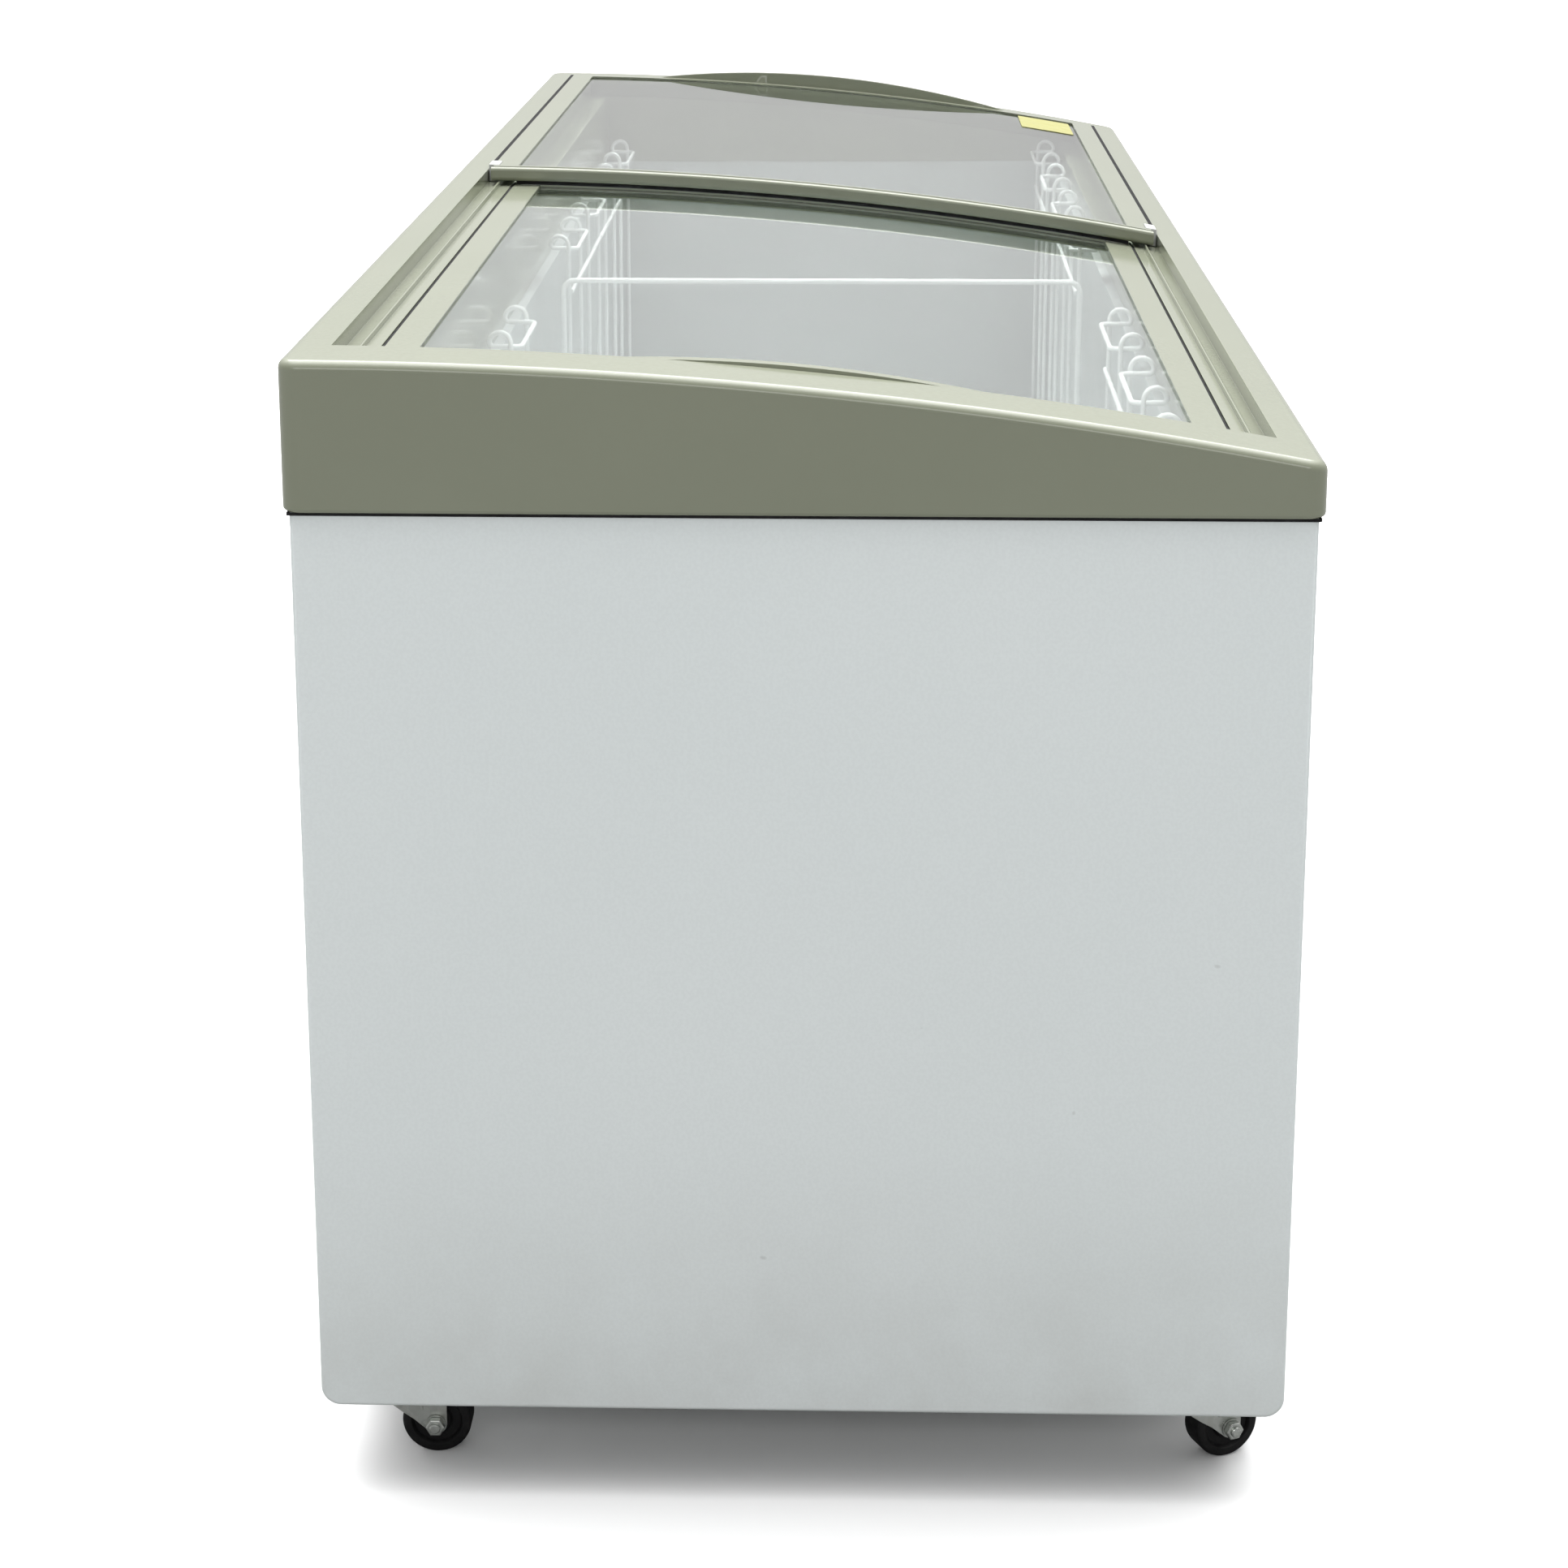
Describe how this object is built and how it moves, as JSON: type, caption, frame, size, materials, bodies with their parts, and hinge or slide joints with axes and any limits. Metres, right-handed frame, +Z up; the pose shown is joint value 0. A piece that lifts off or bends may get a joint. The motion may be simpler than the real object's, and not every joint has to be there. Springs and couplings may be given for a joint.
{
  "type": "chest freezer",
  "caption": "Display chest freezer on swivel casters, with a low front and two curved glass lids that slide past each other along its length.",
  "frame": {"origin": "on the floor under the middle of the cabinet", "axes": "+X along the freezer towards its machine end, -Y towards the customer side, +Z up"},
  "size_m": [1.83, 0.685, 0.8256],
  "materials": {
    "painted_steel": "satin",
    "liner_sheet": "satin",
    "foam": "matte",
    "copper": "satin",
    "grey_plastic": "satin",
    "black_plastic": "satin",
    "collar_plastic": "gloss",
    "lid_frame_plastic": "gloss",
    "lid_glass": "polished",
    "seal_rubber": "matte",
    "white_plastic": "satin",
    "label_film": "satin",
    "coated_wire": "gloss",
    "lamp_lens": "gloss",
    "machine_steel": "satin",
    "condenser_metal": "satin",
    "caster_zinc": "satin",
    "wheel_plastic": "satin"
  },
  "bodies": {
    "cabinet": {"end_panel_left": "painted_steel", "end_panel_right": "painted_steel", "front_panel": "painted_steel", "rear_panel": "painted_steel", "bottom_panel": "painted_steel", "liner_wrap": "liner_sheet", "liner_wall_front": "liner_sheet", "liner_wall_rear": "liner_sheet", "insulation_foam": "foam", "evaporator_coil": "copper", "filter_drier": "copper", "discharge_tube": "copper", "drain_tube": "grey_plastic", "vent_grille_front": "grey_plastic", "vent_grille_rear": "grey_plastic", "thermostat": "grey_plastic", "drain_cap": "black_plastic", "mains_gland": "black_plastic", "collar_cheek_left": "collar_plastic", "collar_cheek_right": "collar_plastic", "collar_rail_front": "collar_plastic", "collar_rail_rear": "collar_plastic", "wire_rack_front_left": "coated_wire", "wire_rack_front_right": "coated_wire", "wire_rack_rear_left": "coated_wire", "wire_rack_rear_right": "coated_wire", "wire_cross_rail": "coated_wire", "pilot_lamp": "lamp_lens", "compressor": "machine_steel", "fan_motor": "machine_steel", "condenser": "condenser_metal", "fan_shroud": "condenser_metal", "caster_plate_front_left": "caster_zinc", "caster_plate_front_right": "caster_zinc", "caster_plate_rear_left": "caster_zinc", "caster_plate_rear_right": "caster_zinc"},
    "lower_lid": {"lower_lid_frame": "lid_frame_plastic", "lower_lid_glass": "lid_glass"},
    "upper_lid": {"upper_lid_frame": "lid_frame_plastic", "upper_lid_glass": "lid_glass", "upper_lid_handle": "lid_frame_plastic", "upper_lid_seal": "seal_rubber", "upper_lid_clip_front": "white_plastic", "upper_lid_clip_rear": "white_plastic", "upper_lid_label": "label_film"},
    "knob": {"thermostat_knob": "black_plastic"},
    "fan": {"fan_blade": "grey_plastic"},
    "caster_swivel_front_left": {"caster_fork_front_left": "caster_zinc", "caster_axle_front_left": "caster_zinc"},
    "caster_roller_front_left": {"caster_wheel_front_left": "wheel_plastic"},
    "caster_swivel_front_right": {"caster_fork_front_right": "caster_zinc", "caster_axle_front_right": "caster_zinc"},
    "caster_roller_front_right": {"caster_wheel_front_right": "wheel_plastic"},
    "caster_swivel_rear_left": {"caster_fork_rear_left": "caster_zinc", "caster_axle_rear_left": "caster_zinc"},
    "caster_roller_rear_left": {"caster_wheel_rear_left": "wheel_plastic"},
    "caster_swivel_rear_right": {"caster_fork_rear_right": "caster_zinc", "caster_axle_rear_right": "caster_zinc"},
    "caster_roller_rear_right": {"caster_wheel_rear_right": "wheel_plastic"}
  },
  "joints": [
    {"name": "lower_lid_slide", "type": "slide", "parent": "cabinet", "child": "lower_lid", "axis": [-1, 0, 0], "range_m": [-0.82, 0]},
    {"name": "upper_lid_slide", "type": "slide", "parent": "cabinet", "child": "upper_lid", "axis": [-1, 0, 0], "range_m": [0, 0.84]},
    {"name": "thermostat_turn", "type": "hinge", "parent": "cabinet", "child": "knob", "pos_m": [0.836, -0.3375, 0.29], "axis": [0, -1, 0], "range_deg": [-270, 0]},
    {"name": "fan_spin", "type": "hinge", "parent": "cabinet", "child": "fan", "pos_m": [0.728, -0.232, 0.205], "axis": [0, 1, 0], "continuous": true},
    {"name": "swivel_front_left", "type": "hinge", "parent": "cabinet", "child": "caster_swivel_front_left", "pos_m": [-0.842, -0.285, 0.06], "axis": [0, 0, 1], "continuous": true},
    {"name": "wheel_spin_front_left", "type": "hinge", "parent": "caster_swivel_front_left", "child": "caster_roller_front_left", "pos_m": [-0.83355, -0.30313, 0.025], "axis": [0.9063, 0.4226, 0], "continuous": true},
    {"name": "swivel_front_right", "type": "hinge", "parent": "cabinet", "child": "caster_swivel_front_right", "pos_m": [0.842, -0.285, 0.06], "axis": [0, 0, 1], "continuous": true},
    {"name": "wheel_spin_front_right", "type": "hinge", "parent": "caster_swivel_front_right", "child": "caster_roller_front_right", "pos_m": [0.842, -0.305, 0.025], "axis": [1, 0, 0], "continuous": true},
    {"name": "swivel_rear_left", "type": "hinge", "parent": "cabinet", "child": "caster_swivel_rear_left", "pos_m": [-0.842, 0.285, 0.06], "axis": [0, 0, 1], "continuous": true},
    {"name": "wheel_spin_rear_left", "type": "hinge", "parent": "caster_swivel_rear_left", "child": "caster_roller_rear_left", "pos_m": [-0.842, 0.265, 0.025], "axis": [1, 0, 0], "continuous": true},
    {"name": "swivel_rear_right", "type": "hinge", "parent": "cabinet", "child": "caster_swivel_rear_right", "pos_m": [0.842, 0.285, 0.06], "axis": [0, 0, 1], "continuous": true},
    {"name": "wheel_spin_rear_right", "type": "hinge", "parent": "caster_swivel_rear_right", "child": "caster_roller_rear_right", "pos_m": [0.842, 0.265, 0.025], "axis": [1, 0, 0], "continuous": true}
  ]
}
